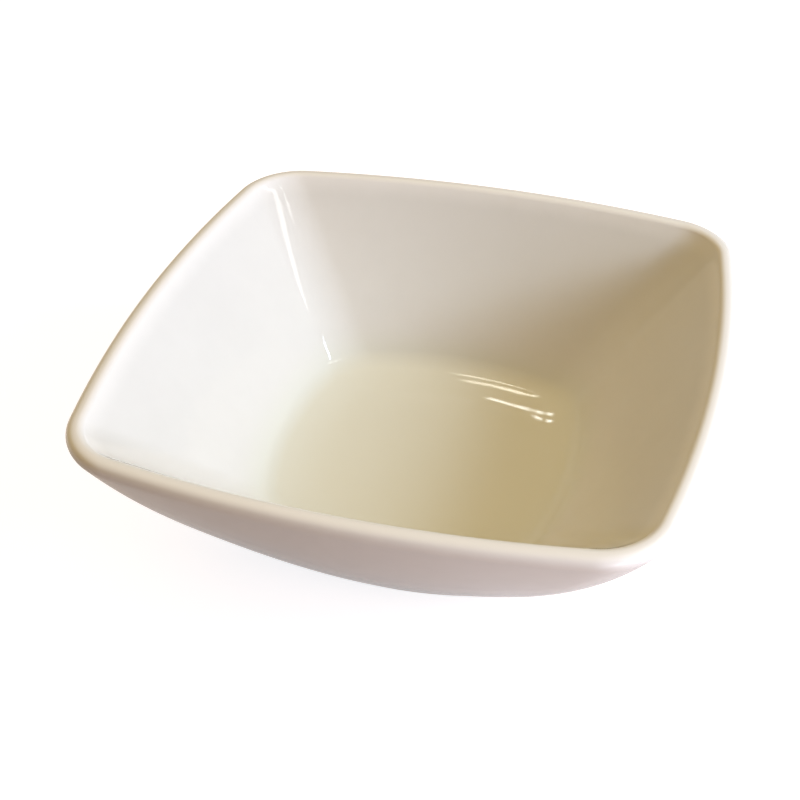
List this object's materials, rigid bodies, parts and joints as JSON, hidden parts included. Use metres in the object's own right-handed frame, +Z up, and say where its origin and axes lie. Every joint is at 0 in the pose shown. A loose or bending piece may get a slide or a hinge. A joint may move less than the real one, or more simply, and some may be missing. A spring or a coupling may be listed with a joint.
{
  "type": "square bowl",
  "caption": "Square serving bowl of glazed stoneware with bowed sides, rounded corners, a smooth rolled lip, straight inner walls and a bare foot ring.",
  "frame": {"origin": "centre of the foot ring's standing face, on the table", "axes": "+Z up through the middle of the bowl; X and Y square to the bowl's sides, with -Y the side nearest the picture's camera"},
  "size_m": [0.14, 0.14, 0.046],
  "materials": {
    "stoneware_clay": "fired, unglazed",
    "bare_foot": "fired, unglazed, ground smooth",
    "liner_glaze": "clear gloss, warm white",
    "outer_glaze": "clear gloss, warm white",
    "base_glaze": "clear gloss, warm white"
  },
  "bodies": {
    "root": {"clay_body": "stoneware_clay", "foot_ring": "bare_foot", "liner_glaze": "liner_glaze", "outer_glaze": "outer_glaze", "base_glaze": "base_glaze"}
  },
  "joints": []
}
